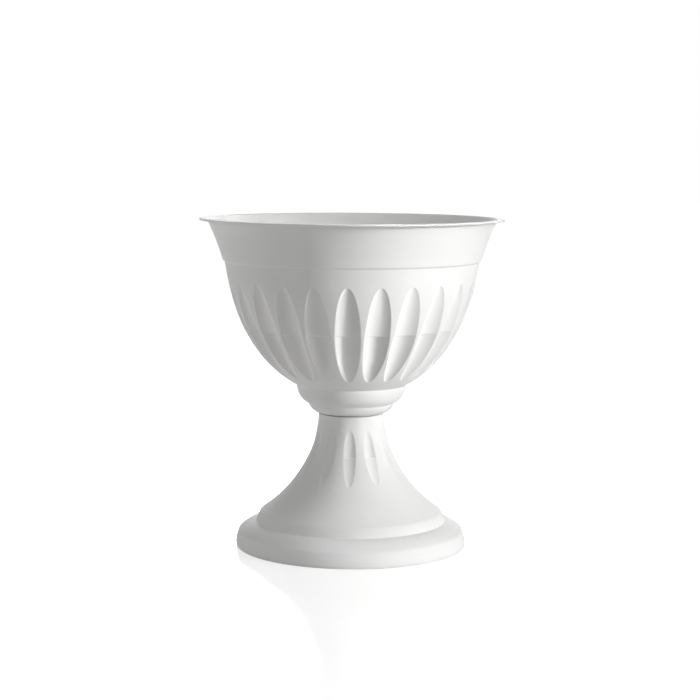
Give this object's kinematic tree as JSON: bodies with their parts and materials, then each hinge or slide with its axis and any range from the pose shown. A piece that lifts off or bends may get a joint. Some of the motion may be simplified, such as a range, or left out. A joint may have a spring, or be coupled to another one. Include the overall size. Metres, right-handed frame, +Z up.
{
  "type": "urn planter",
  "caption": "White plastic garden urn: a wide fluted bowl with a flat flared rim that plugs into a hollow fluted pedestal with a two-tier foot.",
  "frame": {"origin": "on the ground, in the middle of the foot", "axes": "+Z up along the urn's axis, the front towards -Y with a flute of the bowl and of the pedestal centred on it, +X to the right"},
  "size_m": [0.43, 0.43, 0.466],
  "materials": {
    "white_plastic": "satin moulded white plastic, very fine grain, slight sheen",
    "stopper": "soft pale grey moulded stopper, matte"
  },
  "bodies": {
    "pedestal": {"pedestal": "white_plastic"},
    "bowl": {"bowl": "white_plastic"},
    "drain_plug": {"drain_plug": "stopper"}
  },
  "joints": [
    {"name": "bowl_lift", "type": "slide", "parent": "pedestal", "child": "bowl", "axis": [0, 0, 1], "range_m": [0, 0.045]},
    {"name": "plug_pull", "type": "slide", "parent": "bowl", "child": "drain_plug", "axis": [0, 0, 1], "range_m": [0, 0.03]}
  ]
}
